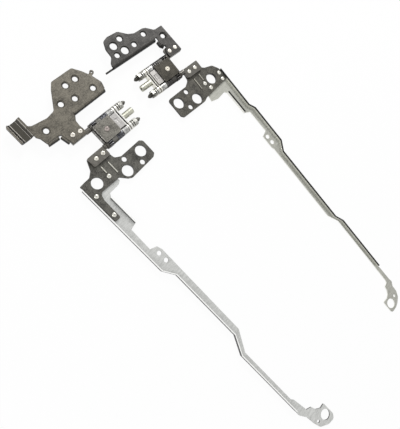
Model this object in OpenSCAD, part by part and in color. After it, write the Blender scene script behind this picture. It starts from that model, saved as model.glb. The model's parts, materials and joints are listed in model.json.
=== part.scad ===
// A pair of friction hinges for a convertible laptop whose lid folds right round.
// Each hinge has two parallel shafts that turn together through a train of four small gears.
// Both lie flat, opened to 180 degrees, with their threaded ends towards each other.
// Millimetres. The origin is the mouth of the left hinge's cap post, midway between its shafts.
// X runs along the left hinge's shafts, +Y towards the base brackets, -Y along the lid arms, +Z up.

/* [Pair] */
// Distance between the two shaft axes of a hinge
shaft_spacing = 12; // [11.2:0.1:14.4]
// Place of the right hinge's post mouth along X
pair_x = 13; // [11:0.5:60]
// Place of the right hinge's post mouth along Y
pair_y = 5.5; // [0:0.5:20]
// Turn of the right hinge on the table
pair_turn = -3; // [-6:0.5:6]

/* [Shafts] */
// Diameter of a shaft between its journal and its thread
shaft_d = 2.3; // [2:0.1:2.4]
// Distance across the two flats of a shaft
shaft_flats = 1.8; // [1.5:0.1:2]
// Diameter of the journal that runs in the outer bearing plate
journal_d = 3; // [2.6:0.1:3.4]
// Length of the riveted foot of a base shaft
base_foot_len = 9.8; // [9.6:0.1:12]
// Length of the riveted foot of a lid shaft
lid_foot_len = 11.4; // [11:0.1:14]
// Width of the foot
foot_w = 6; // [5.6:0.1:7.2]
// Thickness of the foot
foot_t = 1.8; // [1.4:0.1:2.2]
// How far the foot's middle lies off the shaft's axis, away from its bracket
foot_drop = 0.25; // [0:0.05:0.5]
// Neck between the outer bearing plate and the foot, left base shaft
neck_left_base = 3.1; // [1.5:0.1:6]
// The same on the left lid shaft
neck_left_lid = 1.5; // [1:0.1:6]
// The same on the right base shaft
neck_right_base = 1; // [1:0.1:6]
// The same on the right lid shaft
neck_right_lid = 3.1; // [1:0.1:6]

/* [Stack on the shafts] */
// Radius of the bearing plates, collars and washers round a shaft
barrel_r = 2.2; // [1.9:0.05:2.3]
// Thickness of the outer bearing plate
end_plate_t = 1.2; // [0.8:0.1:2]
// Face width of the gears
gear_w = 2.8; // [2:0.1:4]
// Length of the core block that carries the gear pins and the rivet
core_len = 3.2; // [2.8:0.1:5]
// Thickness of a friction band
band_t = 1.2; // [0.8:0.1:1.6]
// Number of friction bands
band_count = 3; // [1:1:4]
// Length of the collar on each shaft
collar_len = 3.8; // [2:0.1:6]
// Thickness of a link plate
link_t = 0.8; // [0.5:0.1:1.2]
// Gap between the two link plates
link_gap = 0.8; // [0.5:0.1:1.2]
// Thickness of a disc spring's sheet
spring_t = 0.35; // [0.25:0.05:0.5]
// Height of a disc spring's cone
spring_cone = 0.3; // [0.1:0.05:0.4]
// Number of disc springs on each shaft
spring_count = 4; // [2:2:6]
// Height of a nut
nut_h = 1.8; // [1.2:0.1:2.6]
// Distance across the flats of a nut
nut_flats = 4; // [3.4:0.1:4.4]
// Length of thread that stands out of the nut
thread_end = 2.6; // [1.6:0.1:4]

/* [Gears] */
// Teeth on each of the four gears
gear_teeth = 10; // [8:2:12]
// Pressure angle of the teeth
gear_angle = 25; // [22:1:28]
// Thickness taken off each tooth for play
gear_play = 0.06; // [0.04:0.01:0.1]
// Diameter of the pins that carry the two middle gears
pin_d = 1.2; // [0.8:0.1:1.4]

/* [Housing] */
// Thickness of the two cover plates
cover_t = 0.6; // [0.4:0.1:1]
// Width of the cover plates
cover_w = 10.8; // [8:0.2:12]
// Diameter of the rivet through the covers
cover_rivet_d = 1.8; // [1.2:0.1:2]
// Diameter of that rivet's heads
cover_rivet_head_d = 3; // [2.4:0.1:3.6]
// Diameter of the post that takes the hinge cap's screw
post_d = 3.6; // [3:0.1:4.2]
// Diameter of the screw hole in the post
post_hole_d = 1.6; // [1.2:0.1:2]
// Depth of the screw hole in the post
post_hole_depth = 4.5; // [2:0.1:5.5]

/* [Brackets] */
// Sheet thickness of the base brackets
base_t = 1.1; // [0.8:0.1:1.4]
// Height of the folded edges of the base brackets
base_fold_h = 2.4; // [1.8:0.1:4]
// Sheet thickness of the lid brackets
lid_t = 1.2; // [0.8:0.1:1.4]
// Diameter of the small screw holes
screw_hole_d = 2.9; // [2.2:0.1:3.2]
// Diameter of the large holes in the lid brackets
boss_hole_d = 6.6; // [5.5:0.1:6.8]
// Height of the pressed stiffening ribs
rib_h = 0.5; // [0.3:0.05:0.7]
// Diameter of the small rivets' shanks
rivet_d = 1.5; // [1:0.1:1.8]
// Diameter of the small rivets' heads
rivet_head_d = 2.5; // [2:0.1:2.8]
// Height of the small rivets' heads
rivet_head_h = 0.45; // [0.3:0.05:0.6]

/* [Arms] */
// Sheet thickness of the arms
arm_t = 0.7; // [0.5:0.1:1]
// Height of the flange along an arm's edge
arm_flange_h = 2.6; // [1.5:0.1:4]
// Distance from the lid shaft to the large hole at the arm's end
arm_reach = 200; // [195:1:260]
// Diameter of the large hole in the arm's end tab
tab_hole_d = 6.2; // [4:0.1:6.6]
// Diameter of the small locating hole in the tab
tab_pin_hole_d = 1.8; // [1:0.1:2.4]
// Diameter of the two holes in the arm's ear
ear_hole_d = 2.7; // [1.8:0.1:3]

/* [Hidden] */
$fn = 48;

// Clearances
run_gap = 0.05;      // radial play of a shaft or pin in what it turns in
seat_gap = 0.02;     // play between pieces that are fixed to each other
face_gap = 0.15;     // end play beside the gears
slip_gap = 0.05;     // end play between faces that slide on each other
cut = 0.01;          // how far a cut runs past a face, or one form into the next
through = 20;        // how far a hole's cutter runs to each side of the shafts' plane

// Gears: four equal ones span the distance between the shafts
gear_pitch_r = shaft_spacing / 6;
gear_module = 2 * gear_pitch_r / gear_teeth;
gear_tip_r = gear_pitch_r + 0.9 * gear_module;
gear_root_r = gear_pitch_r - 1.2 * gear_module;
gear_base_r = gear_pitch_r * cos(gear_angle);

// Heights: 0 is the plane of the shaft axes
cover_in_z = gear_tip_r + 0.09;
floor_z = -cover_in_z - cover_t;
base_foot_z = foot_drop - foot_t / 2;
base_plate_z = base_foot_z + foot_t;
base_top_z = base_plate_z + base_t;
base_fold_z = base_top_z - base_fold_h;
lid_foot_z = -foot_drop - foot_t / 2;
lid_plate_z = lid_foot_z - lid_t;
arm_z = lid_plate_z - arm_t;
arm_rivet_foot_d = rivet_d + 0.85 * arm_t; // width of an arm rivet's sunk foot at the arm's underside

// Stations along a shaft, from the outer face of the outer bearing plate
gear_x = end_plate_t + face_gap;
core_x = gear_x + gear_w + face_gap;
band_pitch = band_t + 0.25;
band_x = core_x + core_len + 0.25;
collar_x = band_x + band_count * band_pitch;
link_x = collar_x + collar_len + slip_gap;
link2_x = link_x + link_t + link_gap;
spring_x = link2_x + link_t + slip_gap;
spring_pitch = spring_t + spring_cone;
nut_x = spring_x + spring_count * spring_pitch;
shaft_end = nut_x + nut_h + thread_end;
thread_r = shaft_d / 2 - 0.05;       // radius of the thread's core
tip_len = 0.9;                       // length of the tapered tip
cover_x = 0.5;
cover_len = collar_x - 0.25;

// Places on the feet
foot_in = 1.1;                       // from the shaft axis to the foot's inner edge
foot_rivet_y = foot_w / 2 - foot_in; // from the shaft axis to the rivets
// Rivets: from the foot's end beside the housing, and out from the shaft axis
left_rivets = [[2.3, foot_rivet_y], [6.6, foot_rivet_y + 0.8]];
right_rivets = [[2.3, foot_rivet_y], [6.6, foot_rivet_y]];
lid_rivets = [[2.7, foot_rivet_y], [7.5, foot_rivet_y]];

// Small forms of the housing
cover_head_h = 0.5;  // height of the cover rivet's upper head
pin_depth = 1.6;     // how far the gear pins reach into the core block
post_stem_r = 1;     // radius of the cap post where it is riveted through the link plates
packing_w = shaft_spacing - 2 * barrel_r; // length of the strip between the link plates

// Holes of the lid brackets, from the outer bearing plate and out from the lid shaft
left_boss_holes = [[-17.4, 11.6], [-0.2, 17.2], [13.2, 13.8]];
right_boss_holes = [[-16.2, 12.6], [0.2, 16.9], [11.8, 12.6]];
left_lid_holes = [[2.7, 11.4], [9.4, 19]];
right_lid_holes = [[3.4, 10], [7.4, 18.5]];
left_ribs = [[-9.8, 6.6, 10.6], [-5.1, 7.2, 14.2]]; // place, start and end
right_ribs = [[-10.9, 6.2, 10.4], [-6.3, 6.9, 13.9]];

left_foot_end = -neck_left_base - base_foot_len;

// Outlines: place along the shaft, distance out from the shaft, corner radius
left_base_outline = [
    [-neck_left_base - 0.1, -foot_in, 0.4], [-neck_left_base - 0.1, 2.6, 0.4], [-3.5, 4.2, 1],
    [-3.2, 7.4, 1.5], [-1.5, 9.6, 0.8], [-1.2, 11.6, 0.2],
    [21.4, 11.6, 0.5], [22.5, 15.2, 1.6], [20.7, 21, 2], [18.2, 25.8, 1], [15, 30.2, 1.6],
    [1.5, 30.4, 1.6], [-1.4, 27.4, 2], [-8.2, 18, 2.4], [-13.4, 17.2, 1.5], [-21.8, 18.6, 2],
    [-24.5, 20.2, 0.6], [-24.5, 12.8, 0.6], [-23.4, 11.2, 2], [-22.6, 7, 0.3], [-15.7, 6.6, 0.6],
    [left_foot_end - 1.3, 6.2, 0.6], [left_foot_end - 0.1, 0.6, 0.4], [left_foot_end, -foot_in, 0.4]
];
left_base_holes = [[12.5, 24.7], [6, 24.8], [16.5, 15.4], [4.9, 16.7], [-2.9, 18.6], [-18.3, 12.5]];
right_base_outline = [
    [-neck_right_base - 0.1, -foot_in, 0.4], [-neck_right_base - 0.1, 2.4, 0.4], [-3.3, 5.2, 0.4],
    [-3.2, 6.3, 0.2], [-2.1, 7.8, 0.4], [-2.1, 12.4, 0.1], [31.5, 12.4, 0.3], [30.6, 14.4, 1.5],
    [28, 17, 2], [27.8, 22, 2], [25.8, 26.2, 1.5], [22.6, 27.2, 3], [15.3, 26.8, 3],
    [11, 22.6, 4], [7.6, 21.1, 3], [1.6, 21, 3], [-0.6, 20.2, 2], [-4.2, 16.6, 2.5],
    [-9.8, 16.6, 0.5], [-10.6, -foot_in, 0.5]
];
// Place and diameter of each hole of the right base bracket
right_base_holes = [
    [16.9, 22.9, 3.2], [22.8, 21.2, 4.2], [18.9, 16, 4.4], [24.6, 16, screw_hole_d],
    [12, 15.9, screw_hole_d], [3.1, 18, screw_hole_d]
];
right_base_sink = [-6.5, 11.3];
// Small eyelet on the left base bracket's rim
eyelet = [22.1, 22.4];
eyelet_d = 2.4;
eyelet_hole_d = 0.9;
left_lid_outline = [
    [-neck_left_lid - 0.1, 2, 0.5], [-neck_left_lid - 0.1, -foot_in, 0.5], [-12.8, -foot_in, 0.4],
    [-15.4, 4.4, 1.2], [-18.6, 6.9, 1.6], [-22, 7, 2],
    [-25.6, 7.3, 0.4], [-25.2, 9.4, 0.4], [-25, 20, 1], [-24.6, 33, 0.9], [-21, 33, 0.9], [-21, 20.6, 1.4],
    [-19.8, 16.6, 2.6], [-6.4, 16.9, 1.4], [-3, 20.6, 1.6], [-0.8, 21.8, 1.6], [16.2, 21, 1.6],
    [18.2, 19.6, 1.2], [18.2, 10.4, 1.8], [16.4, 8.9, 1], [2.6, 9.1, 2], [-0.8, 7.3, 2]
];
right_lid_outline = [
    [-neck_right_lid - 0.1, 2, 0.5], [-neck_right_lid - 0.1, -foot_in, 0.5], [-14.3, -foot_in, 0.4],
    [-15, 3.4, 1.2], [-17, 5, 1.6], [-22.3, 6.6, 2.2],
    [-25, 10.6, 2], [-25, 18, 0.8], [-5.4, 20, 0.8], [-2.8, 21.1, 1.2], [14.8, 21, 1.4],
    [16.2, 19.4, 0.8], [16.2, 7.7, 1.6], [1.2, 7.4, 2], [-2.6, 5.2, 2.4]
];
left_arm_rivets = [[-10.1, 12.9], [-22.7, 16.6], [-22.7, 29.8]];
right_arm_rivets = [[-10.3, 12.8], [-11.8, 16.9], [-23, 12.8], [-22.4, 16.8]];

// Arms: stations out from the lid shaft, with the outer and the inner edge there.
// The last straight part moves with arm_reach.
left_arm_outer = [
    [9.6, -26.3], [69, -25.7], [76.3, -21.4], [124.2, -21.4], [135.2, -26.9], [arm_reach - 17.3, -26.9]
];
left_arm_inner = [
    [9, -21], [10.4, -20.4], [10.4, -7.1], [18.1, -7.1], [19.4, -8.9], [19.7, -15.8], [21.8, -17],
    [40.5, -16.8], [41.7, -21.4], [56.3, -21.6], [57.9, -17.7], [60.9, -16.7], [124.4, -17],
    [136.1, -23.8], [arm_reach - 23.8, -23.8], [arm_reach - 22.2, -22.8]
];
right_arm_outer = [
    [11.4, -25.8], [39.3, -25.8], [43.3, -27.9], [69.6, -28], [75.8, -24], [130.3, -24.2], [135.9, -26.7],
    [arm_reach - 24.4, -26.8]
];
right_arm_inner = [
    [10.2, -20.4], [10.2, -7.6], [19.5, -7.6], [23.5, -7], [24.6, -11.9], [23.8, -18.1], [25.2, -19.4],
    [41.3, -19.7], [43.3, -23.9], [58.7, -24.1], [60.3, -19.9], [69.3, -19.9], [71, -20.6], [126.8, -20.7],
    [134.4, -24.4], [arm_reach - 23.8, -24.4], [arm_reach - 22.2, -24.2]
];
// End tabs, from the large hole: place along the shaft, distance out, corner radius
left_tab_outline = [
    [-11.4, -13.5, 1], [-9.1, -9.2, 1], [-8.4, -2.4, 2], [-7.4, 1.8, 3], [-2.4, 5.5, 3], [2, 6.3, 2],
    [3.9, 3.9, 1.2], [3.9, -5.1, 0.8], [0.6, -5, 1], [-2, -7.2, 1.6], [-3, -10.5, 0.6], [-6.2, -12.2, 0.6],
    [-6.2, -13.6, 0.4], [-7.3, -22.2, 0.4], [-11.4, -22.2, 0.2]
];
right_tab_outline = [
    [-10.8, -21, 0.4], [-10.9, -12.4, 1], [-11.3, -9.2, 0.8], [-9.6, -6.6, 1], [-9.4, -2.2, 2],
    [-7.6, 1.3, 3], [-4.2, 3.7, 3], [-1.4, 4.7, 3], [2.9, 4.8, 1.2], [3.8, 3.6, 1],
    [3.8, -4.7, 0.8], [0, -4.4, 2], [-2.3, -5.6, 2], [-3.9, -7.6, 2], [-4.7, -10.6, 0.5],
    [-7.4, -11.4, 0.5], [-8.1, -13, 0.6], [-8.2, -22.4, 0.2], [-8.2, -25, 0.1], [-10.6, -25, 0.1]
];
left_tab_x = -15.4;
right_tab_x = -16.2;
tab_pin_hole = [-5.8, -1.3];
left_ear_holes = [[-19.4, 61.4], [-19.3, 66.8]];
right_ear_holes = [[-22.4, 62.3], [-22.6, 66.8]];
left_flange2 = [[21.8, -17], [40.5, -16.8]];
right_flange2 = [[25.2, -19.4], [41.3, -19.7]];

// Corner points of an outline rounded by their own radii, each cut back where a side is short
function unit(v) = v / norm(v);
function arc_points(c, a, b, n) =
    let (t0 = atan2(a[1] - c[1], a[0] - c[0]), t1 = atan2(b[1] - c[1], b[0] - c[0]))
    let (turn = t1 - t0 > 180 ? t1 - t0 - 360 : t1 - t0 < -180 ? t1 - t0 + 360 : t1 - t0)
    [for (k = [0:n]) c + norm(a - c) * [cos(t0 + turn * k / n), sin(t0 + turn * k / n)]];
function corner(p, q, s, n) =
    let (m = [q[0], q[1]], u = unit([p[0], p[1]] - m), v = unit([s[0], s[1]] - m))
    let (half = acos(max(-1, min(1, u * v))) / 2)
    let (room = 0.48 * min(norm([p[0], p[1]] - m), norm([s[0], s[1]] - m)))
    let (cut = min(q[2] / tan(half), room), r = cut * tan(half))
    half > 85 ? [m] : arc_points(m + unit(u + v) * r / sin(half), m + u * cut, m + v * cut, n);
function rounded(pts, n = 4) =
    let (last = len(pts) - 1)
    [for (i = [0:last]) each corner(pts[i == 0 ? last : i - 1], pts[i], pts[i == last ? 0 : i + 1], n)];
function swapped(pts) = [for (p = pts) [p[1], p[0]]];
function reversed(pts) = [for (i = [len(pts) - 1:-1:0]) pts[i]];

// Involute gear outline
function involute(a) = tan(a) * 180 / PI - a;
function half_tooth(r) =
    90 / gear_teeth + involute(gear_angle) - involute(acos(gear_base_r / r))
    - gear_play / 2 / gear_pitch_r * 180 / PI;
function gear_points() =
    let (steps = 5, low = max(gear_base_r, gear_root_r) + 0.001)
    [for (i = [0:gear_teeth - 1])
        let (c = 360 * i / gear_teeth)
        each concat(
            [gear_root_r * [cos(c - half_tooth(low)), sin(c - half_tooth(low))]],
            [for (k = [0:steps]) let (r = low + (gear_tip_r - low) * k / steps)
                r * [cos(c - half_tooth(r)), sin(c - half_tooth(r))]],
            [for (k = [steps:-1:0]) let (r = low + (gear_tip_r - low) * k / steps)
                r * [cos(c + half_tooth(r)), sin(c + half_tooth(r))]],
            [gear_root_r * [cos(c + half_tooth(low)), sin(c + half_tooth(low))]]
        )];

// Frames: each hinge is drawn from the outer face of its outer bearing plate
module left() translate([-shaft_end, 0, 0]) children();
module right()
    translate([pair_x, pair_y, 0]) rotate([0, 0, pair_turn]) mirror([1, 0, 0])
    translate([-shaft_end, 0, 0]) children();
module base_side() translate([0, shaft_spacing / 2, 0]) children();
module lid_side() translate([0, -shaft_spacing / 2, 0]) mirror([0, 1, 0]) children();

// Shapes used by several pieces
module along_x(x, len, r) translate([x, 0, 0]) rotate([0, 90, 0]) cylinder(h = len, r = r);
module flatted(x, len, r, flats)
    intersection() {
        along_x(x, len, r);
        translate([x, -r, -flats / 2]) cube([len, 2 * r, flats]);
    }
module two_shafts() for (y = [-1, 1]) translate([0, y * shaft_spacing / 2, 0]) children();
module sheet(outline, z, t) translate([0, 0, z]) linear_extrude(t) polygon(rounded(outline));
module round_hole(p, d) translate([p[0], p[1], -through]) cylinder(h = 2 * through, d = d);

module dumbbell(x, t, end_r, web_z)
    union() {
        two_shafts() along_x(x, t, end_r);
        translate([x, -shaft_spacing / 2, -web_z]) cube([t, shaft_spacing, 2 * web_z]);
    }

module rivet(z0, z1, head0, head1)
    rotate_extrude() polygon([
        [0, z0 - head0], [0.55 * rivet_head_d / 2, z0 - head0], [rivet_head_d / 2, z0 - 0.45 * head0],
        [rivet_head_d / 2, z0], [rivet_d / 2, z0], [rivet_d / 2, z1], [rivet_head_d / 2, z1],
        [rivet_head_d / 2, z1 + 0.45 * head1], [0.55 * rivet_head_d / 2, z1 + head1], [0, z1 + head1]
    ]);

// Edge folded down along the line from a to b, with the plate on the line's left
function fold_r(t) = t + 0.3;
module folded_edge(a, b, top, bottom, t) {
    d = b - a;
    bend = fold_r(t);
    translate([a[0], a[1], 0]) rotate([0, 0, atan2(d[1], d[0])]) rotate([90, 0, 90])
        linear_extrude(norm(d)) polygon(concat(
            [[-bend, bottom], [t - bend, bottom]],
            arc_points([0, top - bend], [t - bend, top - bend], [0, top - t], 3),
            [[0.1, top - t], [0.1, top]],
            reversed(arc_points([0, top - bend], [-bend, top - bend], [0, top], 4))
        ));
}

// Shaft with its journal, flats, thread core and riveted foot, drawn with the foot out along +Y
module shaft(neck, foot_z, foot_len, rivets)
    difference() {
        union() {
            along_x(-neck, neck + gear_x, journal_d / 2);
            flatted(gear_x - cut, nut_x - gear_x + cut, shaft_d / 2, shaft_flats);
            along_x(nut_x - cut, nut_h + thread_end - tip_len + cut, thread_r);
            translate([shaft_end - tip_len, 0, 0]) rotate([0, 90, 0])
                cylinder(h = tip_len, r1 = thread_r, r2 = thread_r - 0.55);
            translate([0, 0, foot_z]) linear_extrude(foot_t) polygon(rounded([
                [-neck + 0.3, -foot_in, 0.2], [-neck + 0.3, 1, 0.1], [-neck, 1.3, 0.1],
                [-neck, foot_w - foot_in, 1], [-neck - foot_len, foot_w - foot_in, 1],
                [-neck - foot_len, -foot_in, 0.5]
            ]));
        }
        foot_rivet_holes(neck, rivets);
    }

module base_shaft(neck, rivets)
    color([0.62, 0.6, 0.57]) base_side() shaft(neck, base_foot_z, base_foot_len, rivets);
module lid_shaft(neck)
    color([0.62, 0.6, 0.57]) lid_side() shaft(neck, lid_foot_z, lid_foot_len, lid_rivets);

// Small gears, all with one outline; every second one is turned by half a tooth
module gear(y, turned)
    translate([gear_x, y, 0]) difference() {
        rotate([0, 90, 0]) rotate([0, 0, 90 + (turned ? 180 / gear_teeth : 0)])
            linear_extrude(gear_w) polygon(gear_points());
        children();
    }

module shaft_gear_bore() flatted(-1, gear_w + 2, shaft_d / 2 + seat_gap, shaft_flats + 2 * seat_gap);
module base_gear() color([0.75, 0.72, 0.6]) gear(shaft_spacing / 2, false) shaft_gear_bore();
module lid_gear() color([0.75, 0.72, 0.6]) gear(-shaft_spacing / 2, true) shaft_gear_bore();
module idler_base()
    color([0.78, 0.7, 0.45]) gear(shaft_spacing / 6, true) along_x(-1, gear_w + 2, pin_d / 2 + run_gap);
module idler_lid()
    color([0.78, 0.7, 0.45]) gear(-shaft_spacing / 6, false) along_x(-1, gear_w + 2, pin_d / 2 + run_gap);

module idler_pins()
    color("silver") for (y = [-1, 1]) translate([0, y * shaft_spacing / 6, 0])
        along_x(0, core_x + pin_depth, pin_d / 2);

// Housing plates
module end_plate()
    color([0.35, 0.34, 0.32]) difference() {
        dumbbell(0, end_plate_t, barrel_r, 0.8 * barrel_r);
        two_shafts() along_x(-1, end_plate_t + 2, journal_d / 2 + run_gap);
        for (y = [-1, 1]) translate([0, y * shaft_spacing / 6, 0])
            along_x(-1, end_plate_t + 2, pin_d / 2 + seat_gap);
    }

module core_block()
    color([0.4, 0.39, 0.37]) difference() {
        union() {
            dumbbell(core_x, core_len, barrel_r, barrel_r);
            translate([core_x, -cover_w / 2 + 0.4, -cover_in_z + seat_gap])
                cube([core_len, cover_w - 0.8, 2 * (cover_in_z - seat_gap)]);
        }
        two_shafts() along_x(core_x - 1, core_len + 2, shaft_d / 2 + run_gap);
        for (y = [-1, 1]) translate([0, y * shaft_spacing / 6, 0])
            along_x(core_x - 1, 1 + pin_depth + seat_gap, pin_d / 2 + seat_gap);
        round_hole([core_x + core_len / 2, 0], cover_rivet_d + 2 * seat_gap);
    }

module friction_bands()
    color([0.55, 0.53, 0.5]) for (i = [0:band_count - 1])
        difference() {
            dumbbell(band_x + i * band_pitch, band_t, barrel_r, 0.75 * barrel_r);
            two_shafts() along_x(band_x + i * band_pitch - 1, band_t + 2, shaft_d / 2 + run_gap);
        }

module cover_plates()
    color([0.45, 0.43, 0.4]) for (s = [-1, 1])
        difference() {
            translate([0, 0, s > 0 ? cover_in_z : floor_z]) linear_extrude(cover_t) polygon(rounded([
                [cover_x, -cover_w / 2, 0.6], [cover_len, -cover_w / 2, 0.6],
                [cover_len, cover_w / 2, 0.6], [cover_x, cover_w / 2, 0.6]
            ]));
            round_hole([core_x + core_len / 2, 0], cover_rivet_d + 2 * seat_gap);
            if (s < 0) translate([core_x + core_len / 2, 0, floor_z - cut])
                cylinder(h = cover_t / 2 + cut + seat_gap, d = cover_rivet_head_d + 2 * seat_gap);
        }

module cover_rivet()
    color([0.7, 0.6, 0.52]) translate([core_x + core_len / 2, 0, 0]) rotate_extrude() polygon([
        [0, floor_z], [cover_rivet_head_d / 2, floor_z],
        [cover_rivet_head_d / 2, floor_z + cover_t / 2], [cover_rivet_d / 2, floor_z + cover_t / 2],
        [cover_rivet_d / 2, -floor_z], [cover_rivet_head_d / 2, -floor_z],
        [cover_rivet_head_d / 2, -floor_z + 0.4 * cover_head_h],
        [0.33 * cover_rivet_head_d, -floor_z + cover_head_h], [0, -floor_z + cover_head_h]
    ]);

// Block between the two collars that keeps the link plates square to the housing
module spacer_block()
    color([0.72, 0.71, 0.7]) difference() {
        translate([collar_x - 0.2, -0.36 * shaft_spacing, -barrel_r])
            cube([collar_len + 0.2, 0.72 * shaft_spacing, 2 * barrel_r]);
        two_shafts() along_x(collar_x - 1, collar_len + 2, barrel_r + 0.12);
        for (s = [-1, 1]) translate([collar_x + collar_len / 2, 0, s * (barrel_r + 1.6)])
            rotate([90, 0, 0]) cylinder(h = 3.4, r = 2, center = true);
    }

module collar(y)
    color([0.8, 0.8, 0.8]) difference() {
        translate([0, y, 0]) union() {
            along_x(collar_x, collar_len - 0.5, barrel_r);
            along_x(collar_x, collar_len, barrel_r - 0.3);
        }
        translate([0, y, 0])
            flatted(collar_x - 1, collar_len + 2, shaft_d / 2 + seat_gap, shaft_flats + 2 * seat_gap);
    }

module link_plates()
    color([0.82, 0.81, 0.76]) for (x = [link_x, link2_x])
        difference() {
            dumbbell(x, link_t, barrel_r + 0.1, 0.7 * barrel_r);
            two_shafts() along_x(x - 1, link_t + 2, shaft_d / 2 + run_gap);
            along_x(x - 1, link_t + 2, post_stem_r + seat_gap);
        }

// Dark strip that keeps the link plates apart between the two washers
module link_packing()
    color([0.12, 0.12, 0.12]) difference() {
        translate([link_x + link_t + seat_gap, -packing_w / 2, -0.6 * barrel_r])
            cube([link_gap - 2 * seat_gap, packing_w, 1.2 * barrel_r]);
        along_x(link_x, 2 * link_t + link_gap, post_stem_r + seat_gap);
    }

module washer(y)
    color([0.8, 0.79, 0.74]) translate([0, y, 0]) difference() {
        along_x(link_x + link_t + slip_gap, link_gap - 2 * slip_gap, barrel_r - 0.2);
        flatted(link_x, 2 * link_t + link_gap, shaft_d / 2 + seat_gap, shaft_flats + 2 * seat_gap);
    }

// Disc springs, laid cone to cone
module springs(y)
    color([0.78, 0.76, 0.66]) translate([0, y, 0]) for (i = [0:spring_count - 1]) {
        flip = i % 2 == 0 ? 0 : 1;
        r0 = shaft_d / 2 + seat_gap;
        r1 = barrel_r;
        translate([spring_x + i * spring_pitch, 0, 0]) rotate([0, 90, 0]) rotate_extrude() polygon([
            [r0, (1 - flip) * spring_cone], [r1, flip * spring_cone],
            [r1, flip * spring_cone + spring_t], [r0, (1 - flip) * spring_cone + spring_t]
        ]);
    }

module nut(y)
    color([0.3, 0.3, 0.28]) translate([nut_x + 0.02, y, 0]) rotate([0, 90, 0]) difference() {
        intersection() {
            rotate([0, 0, 15]) cylinder(h = nut_h, d = nut_flats / cos(30), $fn = 6);
            cylinder(h = nut_h, r1 = nut_flats / cos(30) / 2 + nut_h, r2 = nut_flats / 2 + 0.05);
        }
        translate([0, 0, -1]) cylinder(h = nut_h + 2, r = thread_r + seat_gap);
    }

module cap_post()
    color([0.78, 0.78, 0.62]) difference() {
        union() {
            along_x(link2_x + link_t, shaft_end - link2_x - link_t, post_d / 2);
            along_x(link_x, link2_x - link_x + link_t + 0.1, post_stem_r);
        }
        along_x(shaft_end - post_hole_depth, post_hole_depth + 1, post_hole_d / 2);
    }

// Rivets through a foot and its bracket
module foot_rivets(neck, rivets, z0, z1)
    color([0.78, 0.76, 0.7]) for (p = rivets) translate([-neck - p[0], p[1], 0])
        rivet(z0, z1, rivet_head_h, rivet_head_h);
module base_foot_rivets(neck, rivets) base_side() foot_rivets(neck, rivets, base_foot_z, base_top_z);
module lid_foot_rivets(neck) lid_side() foot_rivets(neck, lid_rivets, lid_plate_z, lid_foot_z + foot_t);
module foot_rivet_holes(neck, rivets)
    for (p = rivets) round_hole([-neck - p[0], p[1]], rivet_d + 2 * seat_gap);

// Hole through a base bracket with its upper rim dished
module dished_hole(p, d, dish, depth) {
    round_hole(p, d);
    translate([p[0], p[1], base_top_z - depth]) cylinder(h = depth + cut, d1 = d, d2 = d + dish);
}

// Left base bracket: plate, folded stiffening edges, rolled ear and small eyelet
ear_x = -24.5;
ear_y = [14.4, 25.8];
module left_base_ear()
    translate([ear_x, 0, base_top_z]) difference() {
        translate([0, ear_y[1], 0]) rotate([90, 0, 0]) linear_extrude(ear_y[1] - ear_y[0]) polygon(rounded([
            [1, 0, 0.1], [-0.2, 0, 1.2], [-1.7, -1.5, 0.6], [-5.3, -1.5, 1.2],
            [-6.5, 0.6, 0.4], [-7.7, 0.4, 0.4], [-7.4, -2.6, 1.8],
            [-1.3, -2.6, 1], [0.2, -base_t, 0.8], [1, -base_t, 0.1]
        ]));
        translate([-8, ear_y[0], -through]) rotate([0, 0, -28]) translate([-2, -5, 0])
            cube([6, 5, 2 * through]);
        translate([-8, ear_y[1], -through]) rotate([0, 0, 45]) translate([-3, -1, 0])
            cube([6, 4, 2 * through]);
    }

module left_base_bracket(neck)
    color([0.52, 0.49, 0.44]) base_side() difference() {
        union() {
            sheet(left_base_outline, base_plate_z, base_t);
            left_base_ear();
            folded_edge([-1.2, 11.6], [21, 11.6], base_top_z, base_fold_z, base_t);
            folded_edge([-22.4, 7], [-15.8, 6.6], base_top_z, base_fold_z, base_t);
            folded_edge(
                [left_foot_end - 1.2, 5.8], [left_foot_end - 0.1, 0.8], base_top_z, base_fold_z, base_t);
            translate([eyelet[0], eyelet[1], base_plate_z]) {
                cylinder(h = base_t, d = eyelet_d);
                rotate([0, 0, 206]) translate([0, -0.4 * eyelet_d, 0]) cube([3, 0.8 * eyelet_d, base_t]);
            }
        }
        for (p = left_base_holes) dished_hole(p, screw_hole_d, 1.2, 0.5);
        round_hole(eyelet, eyelet_hole_d);
        foot_rivet_holes(neck, left_rivets);
    }

// Right base bracket: plate, two folded edges with an open corner, one running on as a tongue
module right_base_bracket(neck)
    color([0.37, 0.35, 0.33]) base_side() difference() {
        union() {
            sheet(right_base_outline, base_plate_z, base_t);
            folded_edge([-0.9, 12.4], [31.2, 12.4], base_top_z, base_fold_z, base_t);
            folded_edge([-2.1, 7.1], [-2.1, 10.2], base_top_z, base_fold_z, base_t);
            folded_edge([-3.2, 6.3], [-2.1, 7.8], base_top_z, base_fold_z, base_t);
            translate([30.8, 12.4 - fold_r(base_t), base_fold_z + 0.3]) cube([5.6, 0.9, 0.9]);
        }
        for (p = right_base_holes) dished_hole(p, p[2], 0.6, 0.3);
        dished_hole(right_base_sink, 2.6, 1.6, 0.8);
        foot_rivet_holes(neck, right_rivets);
    }

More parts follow.
